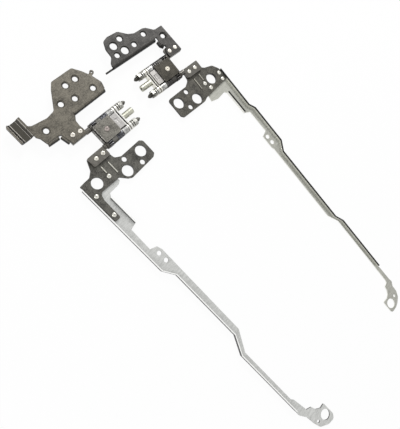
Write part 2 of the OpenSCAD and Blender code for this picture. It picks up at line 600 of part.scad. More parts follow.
// Lid brackets: plate with three collared holes, two pressed ribs and small screw holes
module lid_bracket(outline, neck, bosses, holes, ribs, rivets)
    color([0.4, 0.38, 0.35]) lid_side() difference() {
        union() {
            sheet(outline, lid_plate_z, lid_t);
            for (p = bosses) translate([p[0], p[1], arm_z])
                cylinder(h = arm_t + 0.1, d = boss_hole_d + 1.2);
            for (r = ribs) {
                translate([r[0], r[1], lid_foot_z]) rotate([-90, 0, 0]) cylinder(h = r[2] - r[1], r = rib_h);
                for (y = [r[1], r[2]]) translate([r[0], y, lid_foot_z]) sphere(r = rib_h);
            }
        }
        for (p = bosses) round_hole(p, boss_hole_d);
        for (p = holes) round_hole(p, screw_hole_d);
        for (p = rivets) round_hole(p, rivet_d + 2 * seat_gap);
        foot_rivet_holes(neck, lid_rivets);
    }
module left_lid_bracket()
    lid_bracket(left_lid_outline, neck_left_lid, left_boss_holes, left_lid_holes, left_ribs, left_arm_rivets);
module right_lid_bracket()
    lid_bracket(
        right_lid_outline, neck_right_lid, right_boss_holes, right_lid_holes, right_ribs, right_arm_rivets);

// Arms: sheet strip with a flange along its outer edge, an ear with two holes and an end tab
module edge_wall(pts, t)
    translate([0, 0, arm_z]) linear_extrude(arm_flange_h)
        polygon(concat(swapped(pts), reversed([for (p = pts) [p[1] + t, p[0]]])));

module arm(outer, inner, flange2, boss, tab, tab_x, ears, rivets)
    color([0.78, 0.79, 0.78]) lid_side() difference() {
        union() {
            translate([0, 0, arm_z]) linear_extrude(arm_t)
                polygon(concat(swapped(outer), reversed(swapped(inner))));
            translate([tab_x, arm_reach, 0]) sheet(tab, arm_z, arm_t);
            edge_wall(outer, arm_t);
            edge_wall([for (p = flange2) [p[0], p[1] - arm_t]], arm_t);
        }
        round_hole(boss, boss_hole_d + 1.6);
        round_hole([tab_x, arm_reach], tab_hole_d);
        round_hole([tab_x + tab_pin_hole[0], arm_reach + tab_pin_hole[1]], tab_pin_hole_d);
        for (p = ears) round_hole(p, ear_hole_d);
        for (p = rivets) {
            round_hole(p, rivet_d + 2 * seat_gap);
            translate([p[0], p[1], arm_z - cut])
                cylinder(
                    h = arm_t / 2 + cut, d1 = arm_rivet_foot_d + 2 * seat_gap, d2 = rivet_d + 2 * seat_gap);
        }
    }
module left_arm()
    arm(left_arm_outer, left_arm_inner, left_flange2, left_boss_holes[0], left_tab_outline, left_tab_x,
        left_ear_holes, left_arm_rivets);
module right_arm()
    arm(right_arm_outer, right_arm_inner, right_flange2, right_boss_holes[0], right_tab_outline, right_tab_x,
        right_ear_holes, right_arm_rivets);

module arm_rivets(rivets)
    color([0.8, 0.79, 0.75]) lid_side() for (p = rivets) translate([p[0], p[1], 0]) union() {
        rivet(arm_z, lid_foot_z, 0, rivet_head_h);
        translate([0, 0, arm_z]) cylinder(h = arm_t / 2, d1 = arm_rivet_foot_d, d2 = rivet_d);
    }

left() left_base_bracket(neck_left_base);
left() base_foot_rivets(neck_left_base, left_rivets);  // left_base_foot_rivets
left() base_shaft(neck_left_base, left_rivets);  // left_base_shaft
left() base_gear();  // left_base_gear
left() collar(shaft_spacing / 2);  // left_base_collar
left() washer(shaft_spacing / 2);  // left_base_washer
left() springs(shaft_spacing / 2);  // left_base_springs
left() nut(shaft_spacing / 2);  // left_base_nut
left() end_plate();  // left_end_plate
left() core_block();  // left_core_block
left() friction_bands();  // left_friction_bands
left() cover_plates();  // left_cover_plates
left() cover_rivet();  // left_cover_rivet
left() idler_pins();  // left_idler_pins
left() spacer_block();  // left_spacer_block
left() link_plates();  // left_link_plates
left() link_packing();  // left_link_packing
left() cap_post();  // left_cap_post
left() idler_base();  // left_idler_base
left() idler_lid();  // left_idler_lid
left() lid_shaft(neck_left_lid);  // left_lid_shaft
left() lid_gear();  // left_lid_gear
left() collar(-shaft_spacing / 2);  // left_lid_collar
left() washer(-shaft_spacing / 2);  // left_lid_washer
left() springs(-shaft_spacing / 2);  // left_lid_springs
left() nut(-shaft_spacing / 2);  // left_lid_nut
left() left_lid_bracket();
left() lid_foot_rivets(neck_left_lid);  // left_lid_foot_rivets
left() left_arm();
left() arm_rivets(left_arm_rivets);
right() right_base_bracket(neck_right_base);
right() base_foot_rivets(neck_right_base, right_rivets);  // right_base_foot_rivets
right() base_shaft(neck_right_base, right_rivets);  // right_base_shaft
right() base_gear();  // right_base_gear
right() collar(shaft_spacing / 2);  // right_base_collar
right() washer(shaft_spacing / 2);  // right_base_washer
right() springs(shaft_spacing / 2);  // right_base_springs
right() nut(shaft_spacing / 2);  // right_base_nut
right() end_plate();  // right_end_plate
right() core_block();  // right_core_block
right() friction_bands();  // right_friction_bands
right() cover_plates();  // right_cover_plates
right() cover_rivet();  // right_cover_rivet
right() idler_pins();  // right_idler_pins
right() spacer_block();  // right_spacer_block
right() link_plates();  // right_link_plates
right() link_packing();  // right_link_packing
right() cap_post();  // right_cap_post
right() idler_base();  // right_idler_base
right() idler_lid();  // right_idler_lid
right() lid_shaft(neck_right_lid);  // right_lid_shaft
right() lid_gear();  // right_lid_gear
right() collar(-shaft_spacing / 2);  // right_lid_collar
right() washer(-shaft_spacing / 2);  // right_lid_washer
right() springs(-shaft_spacing / 2);  // right_lid_springs
right() nut(-shaft_spacing / 2);  // right_lid_nut
right() right_lid_bracket();
right() lid_foot_rivets(neck_right_lid);  // right_lid_foot_rivets
right() right_arm();
right() arm_rivets(right_arm_rivets);
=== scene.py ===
import json
import math

import bmesh
import bpy
from mathutils import Matrix, Vector


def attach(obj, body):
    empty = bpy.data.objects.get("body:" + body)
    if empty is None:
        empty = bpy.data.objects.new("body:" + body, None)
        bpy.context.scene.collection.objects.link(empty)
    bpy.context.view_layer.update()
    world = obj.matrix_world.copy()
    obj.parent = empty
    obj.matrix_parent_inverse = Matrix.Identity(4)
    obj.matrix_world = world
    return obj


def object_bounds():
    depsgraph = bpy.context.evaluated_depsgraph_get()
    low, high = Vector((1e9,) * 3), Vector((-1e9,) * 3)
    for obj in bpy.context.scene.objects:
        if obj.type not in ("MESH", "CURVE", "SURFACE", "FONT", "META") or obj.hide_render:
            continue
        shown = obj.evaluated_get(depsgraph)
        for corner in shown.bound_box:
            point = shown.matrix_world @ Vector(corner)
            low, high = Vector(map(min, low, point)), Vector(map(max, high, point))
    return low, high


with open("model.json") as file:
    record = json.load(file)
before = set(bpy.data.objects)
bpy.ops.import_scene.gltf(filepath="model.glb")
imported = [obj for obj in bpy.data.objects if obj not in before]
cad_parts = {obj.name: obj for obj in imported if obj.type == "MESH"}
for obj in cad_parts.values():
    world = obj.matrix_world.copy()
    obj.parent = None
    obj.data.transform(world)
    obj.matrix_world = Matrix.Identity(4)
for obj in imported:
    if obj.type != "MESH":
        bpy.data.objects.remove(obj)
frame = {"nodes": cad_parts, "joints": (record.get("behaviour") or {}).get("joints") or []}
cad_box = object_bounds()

mm = 0.001
scene = bpy.context.scene
scene.view_settings.view_transform = "Standard"

camera_tilt = math.radians(21.9)
camera_round = math.radians(159.4)
camera_roll = math.radians(66.1)
camera_aim = Vector((-13.0, -68.4, 0.0)) * mm
camera_far = 230.2 * mm
camera_back = Vector((
    math.sin(camera_tilt) * math.cos(camera_round),
    math.sin(camera_tilt) * math.sin(camera_round),
    math.cos(camera_tilt),
))
camera_up = Vector((
    -math.cos(camera_tilt) * math.cos(camera_round),
    -math.cos(camera_tilt) * math.sin(camera_round),
    math.sin(camera_tilt),
))
camera_side = camera_up.cross(camera_back)
rolled_side = math.cos(camera_roll) * camera_side + math.sin(camera_roll) * camera_up
rolled_up = -math.sin(camera_roll) * camera_side + math.cos(camera_roll) * camera_up
camera = bpy.data.objects.new("camera", bpy.data.cameras.new("camera"))
camera.data.lens = 34.04
camera.data.sensor_width = 36
camera.data.clip_start = 0.005
camera.data.clip_end = 20
camera.matrix_world = Matrix((
    (*rolled_side, 0), (*rolled_up, 0), (*camera_back, 0), (0, 0, 0, 1),
)).transposed()
camera.location = camera_aim + camera_back * camera_far
scene.collection.objects.link(camera)
scene.camera = camera


def soft_lamp(name, toward, far, side, power):
    """A square lamp that faces the camera's aim, so many metres off in a direction."""
    lamp = bpy.data.objects.new(name, bpy.data.lights.new(name, "AREA"))
    lamp.data.shape = "SQUARE"
    lamp.data.size = side
    lamp.data.energy = power
    lamp.location = camera_aim + Vector(toward).normalized() * far
    lamp.rotation_mode = "QUATERNION"
    lamp.rotation_quaternion = Vector(toward).to_track_quat("Z", "Y")
    scene.collection.objects.link(lamp)


soft_lamp("key_lamp", toward=(0.75, 0.66, 0.66), far=0.8, side=0.24, power=3.4)
soft_lamp("side_lamp", toward=(-0.8, 0.4, 0.6), far=0.9, side=0.3, power=2.2)


def finish_step(tree, kind, feeds=None, **settings):
    """One step of a finish: a shader node with its settings, fed by values or by earlier steps."""
    step = tree.nodes.new("ShaderNode" + kind)
    for key, value in settings.items():
        setattr(step, key, value)
    for key, value in (feeds or {}).items():
        if isinstance(value, bpy.types.NodeSocket):
            tree.links.new(value, step.inputs[key])
        else:
            step.inputs[key].default_value = value
    return step


def math_step(tree, operation, *values):
    """A sum, such as ADD or MULTIPLY, on numbers or earlier steps."""
    return finish_step(tree, "Math", dict(enumerate(values)), operation=operation).outputs[0]


def seen_directly(tree):
    """1 for what the camera, a mirror or glass shows, 0 for what only lights the pieces."""
    ray = finish_step(tree, "LightPath")
    seen = math_step(tree, "MAXIMUM", ray.outputs["Is Camera Ray"], ray.outputs["Is Glossy Ray"])
    return math_step(tree, "MAXIMUM", seen, ray.outputs["Is Transmission Ray"])


white = (1, 1, 1, 1)
room_light = 0.5
room = bpy.data.worlds.new("white_room")
room.use_nodes = True
scene.world = room
tree = room.node_tree
tree.nodes.clear()
bright = finish_step(tree, "Background", {"Color": white, "Strength": 1.0})
ambient = finish_step(tree, "Background", {"Color": white, "Strength": room_light})
blend = finish_step(tree, "MixShader", {
    0: seen_directly(tree), 1: ambient.outputs[0], 2: bright.outputs[0],
})
finish_step(tree, "OutputWorld", {"Surface": blend.outputs[0]})

table_half = 2.0
table_gap = 0.02 * mm
table_glow = 0.95
table_white = bpy.data.materials.new("table_white")
table_white.use_nodes = True
tree = table_white.node_tree
tree.nodes.clear()
paper = finish_step(tree, "BsdfDiffuse", {"Color": (0.93, 0.93, 0.93, 1)})
glow = finish_step(tree, "Emission", {"Color": white, "Strength": 1.0})
lit = math_step(tree, "MULTIPLY", seen_directly(tree), table_glow)
blend = finish_step(tree, "MixShader", {0: lit, 1: paper.outputs[0], 2: glow.outputs[0]})
finish_step(tree, "OutputMaterial", {"Surface": blend.outputs[0]})
table_z = cad_box[0].z - table_gap
table_mesh = bpy.data.meshes.new("table")
table_mesh.from_pydata([
    (-table_half, -table_half, table_z), (table_half, -table_half, table_z),
    (table_half, table_half, table_z), (-table_half, table_half, table_z),
], [], [(0, 1, 2, 3)])
table = bpy.data.objects.new("table", table_mesh)
table_mesh.materials.append(table_white)
scene.collection.objects.link(table)

# The two base brackets, which the laptop's bottom half is screwed to.
# Each is blanked and folded from cold-rolled steel 1.1 mm thick and left with a dull, mottled oxide
# finish. Its upright faces are painted nearly black and what lies low on it darker, both painted shade.
# The shoulders of the left one's folds are painted pale as a painted highlight.


def new_metal(name, metallic=1.0):
    """A bare metal: the material, the tree for its steps, and the place that its patterns follow."""
    metal = bpy.data.materials.new(name)
    metal.use_nodes = True
    tree = metal.node_tree
    tree.nodes["Principled BSDF"].inputs["Metallic"].default_value = metallic
    return metal, tree, finish_step(tree, "TexCoord").outputs["Object"]


def feed_shader(tree, colour, rough, height=None, relief=0.0, deep=0.0):
    """Ends a finish with its colour, its roughness and, where a height is given, fine relief."""
    shader = tree.nodes["Principled BSDF"]
    tree.links.new(colour, shader.inputs["Base Color"])
    tree.links.new(rough, shader.inputs["Roughness"])
    if height is not None:
        bump = finish_step(tree, "Bump", {"Strength": relief, "Distance": deep, "Height": height})
        tree.links.new(bump.outputs[0], shader.inputs["Normal"])


def noise_step(tree, place, scale, detail, roughness=0.5, distortion=0.0):
    """Cloudy patches, or streaks where the place is stretched."""
    return finish_step(tree, "TexNoise", {
        "Vector": place, "Scale": scale, "Detail": detail, "Roughness": roughness, "Distortion": distortion,
    }).outputs[0]


def spread_step(tree, value, low, high, to_low=0.0, to_high=1.0):
    """Stretches a value's range, and stops it at both ends."""
    return finish_step(tree, "MapRange", {
        "Value": value, "From Min": low, "From Max": high, "To Min": to_low, "To Max": to_high,
    }).outputs[0]


def colour_step(tree, low, high, amount=1.0, way="MIX"):
    """Runs from one colour to another by the amount, or multiplies them. Either may be a step."""
    first, second = (end if isinstance(end, bpy.types.NodeSocket) else (*end, 1) for end in (low, high))
    # A Mix of colours takes them at its sockets 6 and 7 and gives the result at 2.
    feeds = {"Factor": amount, 6: first, 7: second}
    return finish_step(tree, "Mix", feeds, data_type="RGBA", blend_type=way).outputs[2]


def level_step(tree):
    """How level a surface lies, from 0 upright to 1 flat, the same in every pose."""
    facing = finish_step(tree, "NewGeometry")
    turned = finish_step(tree, "VectorTransform", {0: facing.outputs["True Normal"]},
                         vector_type="NORMAL", convert_from="WORLD", convert_to="OBJECT")
    parted = finish_step(tree, "SeparateXYZ", {0: turned.outputs[0]})
    return math_step(tree, "ABSOLUTE", parted.outputs["Z"])


cloud_scale = 1400.0
patch_scale = 260.0
patch_share = 0.5
pit_scale = 1500.0
grain_stretch = 260.0
level_fade = 0.35


def sheet_steel(name, pale, dark, painted_upright_shading, rough=0.42, metallic=1.0, stain=0.5, wall_to=0.9, relief=0.22,
                grain_turn=0.0, brushed=0.35, brush_fine=5200.0, bend=None, painted_raised_shading=None, sunk=None):
    """Rolled sheet: cloudy oxide, fine rolling lines, specks, and painted light and shade by how a face
    lies.

    stain is how wide the range from dark to pale is. brushed and brush_fine are how strong and how
    fine the rolling lines are. The upright colour is painted on what is less level than wall_to:
    painted shade on most pieces, painted light on the right arm. The bend colour comes with the two
    levels, from 0 upright to 1 flat, between which it shows: a painted highlight on the left base
    bracket's fold shoulders, painted shade along the arms' bends. The raised and sunk colours come
    with the two heights in mm between which they come in: painted highlights on the lid brackets' ribs
    and the left arm's flange tops, painted shade on the right arm's flange tops and on what lies low
    on the base brackets. The sunk colour lies under the bend and upright colours, and the raised
    colour over them.
    """
    metal, tree, place = new_metal(name, metallic)
    cloud = noise_step(tree, place, cloud_scale, detail=6.0, roughness=0.72, distortion=0.5)
    patch = noise_step(tree, place, patch_scale, detail=3.0)
    rolled = finish_step(tree, "Mapping", {
        "Vector": place, "Rotation": (0, 0, grain_turn), "Scale": (grain_stretch, brush_fine, brush_fine),
    }).outputs[0]
    lines = noise_step(tree, rolled, scale=1.0, detail=3.0)
    cloudy = math_step(tree, "MULTIPLY_ADD", patch, patch_share, cloud)
    oxide = math_step(tree, "ADD", cloudy, math_step(tree, "MULTIPLY", lines, brushed))
    middle = (1 + patch_share + brushed) / 2
    coat = colour_step(tree, dark, pale, spread_step(tree, oxide, middle - stain / 2, middle + stain / 2))
    speck = finish_step(tree, "TexVoronoi", {"Vector": place, "Scale": pit_scale}).outputs["Distance"]
    pitted = spread_step(tree, speck, 0.05, 0.22, to_low=0.8)
    coat = colour_step(tree, coat, pitted, way="MULTIPLY")
    level = level_step(tree)
    height = finish_step(tree, "SeparateXYZ", {0: place}).outputs["Z"]
    # Painted shade: what lies low takes the sunk colour.
    if sunk:
        colour, start, end = sunk
        coat = colour_step(tree, coat, colour, spread_step(tree, height, start * mm, end * mm))
    # Painted light and shade on faces that lie between the bend colour's two levels.
    if bend:
        colour, steep, flat = bend
        from_steep = spread_step(tree, level, steep - 0.05, steep)
        to_flat = spread_step(tree, level, flat, flat + 0.012, to_low=1.0, to_high=0.0)
        coat = colour_step(tree, coat, colour, math_step(tree, "MULTIPLY", from_steep, to_flat))
    # Painted shade on upright faces, and painted light on the right arm's upright faces.
    coat = colour_step(tree, painted_upright_shading, coat, spread_step(tree, level, wall_to - level_fade, wall_to))
    # Painted highlight and painted shade on what lies high, laid over the upright colour.
    if painted_raised_shading:
        colour, start, end = painted_raised_shading
        coat = colour_step(tree, coat, colour, spread_step(tree, height, start * mm, end * mm))
    sheen = spread_step(tree, oxide, middle - 0.35, middle + 0.35, rough + 0.1, rough - 0.08)
    feed_shader(tree, coat, sheen, math_step(tree, "ADD", oxide, pitted), relief, 0.06 * mm)
    return metal


def toned(colour, share):
    """A colour made darker or brighter."""
    return tuple(share * c for c in colour)


def rubbed_edge(name, colour, rough=0.3):
    """The narrow rounding along an edge, rubbed brighter in patches."""
    metal, tree, place = new_metal(name)
    rub = noise_step(tree, place, scale=420.0, detail=4.0)
    rubbed = colour_step(tree, toned(colour, 0.55), colour, spread_step(tree, rub, 0.38, 0.62))
    feed_shader(tree, rubbed, spread_step(tree, rub, 0.3, 0.7, rough + 0.12, rough))
    return metal


same_point = 0.001 * mm
nearly_flat = math.radians(0.5)
sharp_edge = math.radians(35)


def finish_node(name, metal, edge=None, rounding=0.04, full_width=False):
    """Gives a node its finish, and a small rounding in mm along its sharp edges."""
    piece = frame["nodes"][name]
    piece.data.materials.clear()
    piece.data.materials.append(metal)
    weld = piece.modifiers.new("weld", "WELD")
    weld.merge_threshold = same_point
    flatten = piece.modifiers.new("flatten", "DECIMATE")
    flatten.decimate_type = "DISSOLVE"
    flatten.angle_limit = nearly_flat
    ease = piece.modifiers.new("ease", "BEVEL")
    ease.limit_method = "ANGLE"
    ease.angle_limit = sharp_edge
    ease.width = rounding * mm
    ease.segments = 2
    ease.use_clamp_overlap = not full_width
    if edge:
        piece.data.materials.append(edge)
        ease.material = 1
    for face in piece.data.polygons:
        face.use_smooth = True
    even = piece.modifiers.new("even", "WEIGHTED_NORMAL")
    even.keep_sharp = False
    even.weight = 100


# The upright and sunk colours are painted shade, and the left one's bend colour a painted highlight.
base_looks = {
    "left": {
        "pale": (0.208, 0.19, 0.153), "dark": (0.056, 0.0505, 0.04), "painted_upright_shading": (0.01, 0.009, 0.008),
        "stain": 0.36, "wall_to": 0.88, "bend": ((0.27, 0.255, 0.228), 0.89, 0.968),
        "sunk": ((0.05, 0.046, 0.035), 2.0, 1.1),
    },
    "right": {
        "pale": (0.064, 0.06, 0.055), "dark": (0.017, 0.0157, 0.014), "painted_upright_shading": (0.008, 0.008, 0.007),
        "stain": 0.27, "sunk": ((0.025, 0.025, 0.023), 2.0, 1.1),
    },
}
base_edge_colour = {"left": (0.05, 0.046, 0.038), "right": (0.025, 0.024, 0.021)}
for side, look in base_looks.items():
    steel = sheet_steel(side + "_base_steel", metallic=0.4, **look)
    edge = rubbed_edge(side + "_base_edge", base_edge_colour[side])
    finish_node(side + "_base_bracket", steel, edge, rounding=0.12, full_width=True)

# The rivets through the feet of the base brackets.
# Each is a short nickel-plated steel rivet, headed over by a spinning punch, which leaves faint
# rings on the head and a dimple in its middle.
head_ring_turn = 24000.0  # radians in a metre, which puts a ring every 0.26 mm
dimple_floor = 0.16
dimple_lip = 0.34
rim_shade_width = 0.16


def middles(name):
    """The middle of each separate solid in a node, found from its mesh."""
    mesh = frame["nodes"][name].data
    joined = bmesh.new()
    joined.from_mesh(mesh)
    bmesh.ops.remove_doubles(joined, verts=joined.verts, dist=2 * same_point)
    left_over = set(joined.verts)
    found = []
    while left_over:
        island = [left_over.pop()]
        for point in island:
            for edge in point.link_edges:
                other = edge.other_vert(point)
                if other in left_over:
                    left_over.remove(other)
                    island.append(other)
        low = Vector([min(point.co[i] for point in island) for i in range(3)])
        high = Vector([max(point.co[i] for point in island) for i in range(3)])
        found.append((low + high) / 2)
    joined.free()
    return sorted(found, key=lambda point: tuple(point))


def headed_rivet(node, pale, dark, head, rough=0.3):
    """A rivet's finish: pale, with rings about each rivet's own middle, a dimple, and painted shade in the
    dimple and round the rim.
    """
    metal, tree, place = new_metal(node + "_metal")
    across = finish_step(tree, "VectorMath", {0: place, 1: (1, 1, 0)}, operation="MULTIPLY").outputs[0]
    nearest = None
    for middle in middles(node):
        spot = {0: across, 1: (middle.x, middle.y, 0)}
        away = finish_step(tree, "VectorMath", spot, operation="DISTANCE").outputs["Value"]
        nearest = away if nearest is None else math_step(tree, "MINIMUM", nearest, away)
    blotch = noise_step(tree, place, scale=1600.0, detail=4.0)
    rings = math_step(tree, "SINE", math_step(tree, "MULTIPLY", nearest, head_ring_turn))
    total = math_step(tree, "ADD", blotch, spread_step(tree, rings, -1.0, 1.0, -0.06, 0.06))
    face = colour_step(tree, dark, pale, spread_step(tree, total, 0.3, 0.62))
    # Painted shade: the dimple and a ring inside the head's rim are made darker.
    dimple = spread_step(tree, nearest, dimple_floor * mm, dimple_lip * mm)
    rim = spread_step(tree, nearest, head / 2 * mm, (head / 2 - rim_shade_width) * mm)
    shade = spread_step(tree, math_step(tree, "MULTIPLY", dimple, rim), 0.0, 1.0, to_low=0.28)
    face = colour_step(tree, face, shade, way="MULTIPLY")
    sheen = spread_step(tree, total, 0.3, 0.7, rough + 0.12, rough)
    feed_shader(tree, face, sheen, math_step(tree, "ADD", dimple, total), 0.35, 0.05 * mm)
    return metal


foot_rivet_head = 2.5
for side in ("left", "right"):
    node = side + "_base_foot_rivets"
    finish_node(node, headed_rivet(node, (0.76, 0.73, 0.66), (0.46, 0.43, 0.38), foot_rivet_head))

# The four steel shafts that the hinges turn on.
# Each is turned from bar, flattened at one end into a foot and milled with two flats.
# Its far end has a rolled thread, cut here as a real helix, with a tapered tip.
joint = {j["name"]: j for j in frame["joints"]}
shaft_joint = {
    "left_base": "left_housing_turn", "left_lid": "left_lid_turn",
    "right_base": "right_housing_turn", "right_lid": "right_lid_turn",
}
shaft_body = {
    "left_base": "base_set", "left_lid": "left_lid_set",
    "right_base": "base_set", "right_lid": "right_lid_set",
}


def side_of(shaft):
    """Whether a shaft belongs to the left or the right hinge."""
    return shaft.split("_")[0]


def line_of(*joint_names):
    """The line through a shaft, or midway between shafts: a point on it, and its turn to the tips.

    The tips of the right hinge point the other way along its joints' axis.
    """
    points = [Vector(joint[name]["pos_m"]) for name in joint_names]
    axis = joint[joint_names[0]]["axis"]
    turn = math.atan2(axis[1], axis[0]) + (math.pi if side_of(joint_names[0]) == "right" else 0)
    return sum(points, Vector()) / len(points), turn


shaft_line = {shaft: line_of(name) for shaft, name in shaft_joint.items()}


def along_line(tree, place, line):
    """A place along a shaft, x towards its tip, and across it, y and z."""
    point, turn = line
    return finish_step(tree, "Mapping", {
        "Vector": place, "Location": point, "Rotation": (0, 0, turn),
    }, vector_type="TEXTURE").outputs[0]


def out_from_line(tree, own):
    """How far a place is from the shaft's line."""
    across = finish_step(tree, "VectorMath", {0: own, 1: (0, 1, 1)}, operation="MULTIPLY")
    return finish_step(tree, "VectorMath", {0: across.outputs[0]}, operation="LENGTH").outputs["Value"]


ring_share = 0.6


def turned_metal(name, line, pale, dark, rough=0.24, rings=3400.0, contrast=0.3, shaded_bore=None, end=None):
    """Lathe-turned metal: fine rings round the shaft's line, dull patches, and a rubbed sheen.

    The bore radius, in mm, is how far out the metal is painted near black, as painted shade inside a
    hole. end is a colour and where it starts, in mm along the shaft from the joint's point.
    """
    metal, tree, place = new_metal(name)
    own = along_line(tree, place, line)
    along = finish_step(tree, "SeparateXYZ", {0: own}).outputs[0]
    out = out_from_line(tree, own)
    lathe = finish_step(tree, "CombineXYZ", {0: along, 1: out}).outputs[0]
    ring = noise_step(tree, lathe, scale=rings, detail=3.0)
    patch = noise_step(tree, own, scale=620.0, detail=5.0, distortion=0.4)
    total = math_step(tree, "ADD", math_step(tree, "MULTIPLY", ring, ring_share), patch)
    middle = (1 + ring_share) / 2
    amount = spread_step(tree, total, middle - contrast, middle + contrast)
    coat = colour_step(tree, dark, pale, amount)
    # The end colour, on the shafts a painted dark reflection over the thread and tip.
    if end:
        colour, start = end
        coat = colour_step(tree, coat, colour, spread_step(tree, along, start * mm, (start + 0.3) * mm))
    # Painted shade: inside the bore the metal is near black.
    if shaded_bore:
        amount = spread_step(tree, out, shaded_bore * mm, (shaded_bore + 0.06) * mm)
        coat = colour_step(tree, (0.012, 0.012, 0.01), coat, amount)
    sheen = spread_step(tree, total, middle - 0.3, middle + 0.3, rough + 0.12, rough - 0.06)
    feed_shader(tree, coat, sheen, ring, 0.3, 0.03 * mm)
    return metal


def thread_ridge(name, line, start, length, root, crest, pitch):
    """The helical ridge of a rolled thread, as a strip with a peaked section wound round the shaft."""
    steps = 32
    fade_steps = 12
    half_root = 0.46 * pitch
    half_crest = 0.1 * pitch
    buried = 0.15
    count = int(length / pitch * steps)
    ridge = bmesh.new()
    rows = []
    for k in range(count + 1):
        angle = 2 * math.pi * k / steps
        fade = min(1.0, k / fade_steps, (count - k) / fade_steps)
        peak = root + (crest - root) * fade
        middle = start + length * k / count
        section = (
            (-half_root, root), (-half_crest, peak), (half_crest, peak), (half_root, root),
            (0.0, root - buried),
        )
        rows.append([
            ridge.verts.new((mm * (middle + aside), mm * out * math.cos(angle), mm * out * math.sin(angle)))
            for aside, out in section
        ])
    for before, after in zip(rows, rows[1:]):
        for i in range(len(before)):
            j = (i + 1) % len(before)
            ridge.faces.new((before[i], before[j], after[j], after[i]))
    ridge.faces.new(rows[0])
    ridge.faces.new(reversed(rows[-1]))
    bmesh.ops.recalc_face_normals(ridge, faces=ridge.faces)
    point, turn = line
    ridge.transform(Matrix.Translation(point) @ Matrix.Rotation(turn, 4, "Z"))
    mesh = bpy.data.meshes.new(name)
    ridge.to_mesh(mesh)
    ridge.free()
    for face in mesh.polygons:
        face.use_smooth = True
    piece = bpy.data.objects.new(name, mesh)
    scene.collection.objects.link(piece)
    piece.modifiers.new("even", "WEIGHTED_NORMAL").keep_sharp = False
    return piece


# The first two are in mm along a shaft, from the outer face of its outer bearing plate.
joint_station = 5.0
thread_station = 22.95
thread_length = 1.5
thread_root = 1.09
thread_crest = 1.21
thread_pitch = 0.4
# Each shaft's third colour is laid flat over its thread and tip as a painted dark reflection.
tip_colour_lead = 0.6
shaft_looks = {
    "left": ((0.20, 0.19, 0.17), (0.085, 0.08, 0.072), (0.16, 0.155, 0.14)),
    "right": ((0.15, 0.145, 0.13), (0.07, 0.066, 0.06), (0.065, 0.063, 0.056)),
}
thread_from = thread_station - joint_station
for shaft, line in shaft_line.items():
    pale, dark, tip = shaft_looks[side_of(shaft)]
    bar = turned_metal(
        shaft + "_shaft_steel", line, pale, dark, rough=0.3, end=(tip, thread_from - tip_colour_lead))
    edge = rubbed_edge(shaft + "_shaft_edge", toned(pale, 1.6))
    finish_node(shaft + "_shaft", bar, edge, rounding=0.05)
    ridge = thread_ridge(
        shaft + "_thread", line, thread_from, thread_length, thread_root, thread_crest, thread_pitch)
    ridge.data.materials.append(bar)
    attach(ridge, shaft_body[shaft])

# The gears on the shafts, which tie the two halves of each hinge to open together.
# They are sintered steel, dark with oil in the tooth gaps and bright where the teeth have meshed.
gear_tip = 2.36
tooth_depth = 0.8


def gear_metal(name, line, pale, dark):
    """Sintered steel: fine pores, dark towards the root and rubbed bright at the tooth tips."""
    metal, tree, place = new_metal(name)
    own = along_line(tree, place, line)
    rubbed = spread_step(tree, out_from_line(tree, own), (gear_tip - tooth_depth) * mm, gear_tip * mm)
    pores = finish_step(tree, "TexVoronoi", {"Vector": own, "Scale": 7000.0}).outputs["Distance"]
    grit = noise_step(tree, own, scale=1800.0, detail=5.0)
    amount = spread_step(tree, math_step(tree, "MULTIPLY", rubbed, grit), 0.1, 0.55)
    sheen = spread_step(tree, amount, 0.0, 1.0, 0.5, 0.4)
    relief = math_step(tree, "ADD", pores, grit)
    feed_shader(tree, colour_step(tree, dark, pale, amount), sheen, relief, 0.25, 0.03 * mm)
    return metal


gear_looks = {
    "left": ((0.26, 0.26, 0.27), (0.03, 0.029, 0.031)),
    "right": ((0.095, 0.092, 0.088), (0.03, 0.029, 0.027)),
}
for shaft, line in shaft_line.items():
    finish_node(shaft + "_gear", gear_metal(shaft + "_gear_steel", line, *gear_looks[side_of(shaft)]))

# The outer bearing plate at the bracket end of each hinge, which both shafts run in.
# It is stamped from hardened spring steel, oiled and nearly black, with its rim rubbed bright.
end_plate_looks = {
    "left": ((0.125, 0.12, 0.108), (0.045, 0.043, 0.04)),
    "right": ((0.085, 0.08, 0.07), (0.03, 0.028, 0.026)),
}
for side, (pale, dark) in end_plate_looks.items():
    # Its upright faces are painted darker as painted shade.
    plate = sheet_steel(side + "_end_plate_steel", pale, dark, toned(pale, 0.7), rough=0.34, stain=0.4)
    rim = rubbed_edge(side + "_end_plate_rim", toned(pale, 2.2))
    finish_node(side + "_end_plate", plate, rim, rounding=0.06)

# The two idler gears of each hinge and the pins that they run on.
# The idlers are sintered like the shaft gears. The pins are ground rod, pressed into the end plate
# and the core block.
idler_looks = {
    "left": ((0.32, 0.31, 0.285), (0.04, 0.038, 0.034)),
    "right": ((0.11, 0.105, 0.095), (0.03, 0.028, 0.025)),
}
for side, (pale, dark) in idler_looks.items():
    pin_line = line_of(side + "_idler_base_turn")
    finish_node(side + "_idler_pins", turned_metal(
        side + "_pin_steel", pin_line, toned(pale, 1.8), pale, rough=0.22))
    for half in ("base", "lid"):
        idler = f"{side}_idler_{half}"
        finish_node(idler, gear_metal(idler + "_steel", line_of(idler + "_turn"), pale, dark))

# The core block in the middle of each housing.
# It is a zinc die casting with both shafts through it, clamped between the covers by their rivet.
core_looks = {
    "left": ((0.2, 0.195, 0.18), (0.09, 0.087, 0.08)),
    "right": ((0.095, 0.092, 0.085), (0.045, 0.043, 0.04)),
}
for side, (pale, dark) in core_looks.items():
    # Its upright faces take the dark colour throughout as painted shade.
    cast = sheet_steel(side + "_core_casting", pale, dark, dark, rough=0.46, stain=0.6)
    edge = rubbed_edge(side + "_core_edge", toned(pale, 1.3))
    finish_node(side + "_core_block", cast, edge, rounding=0.06)

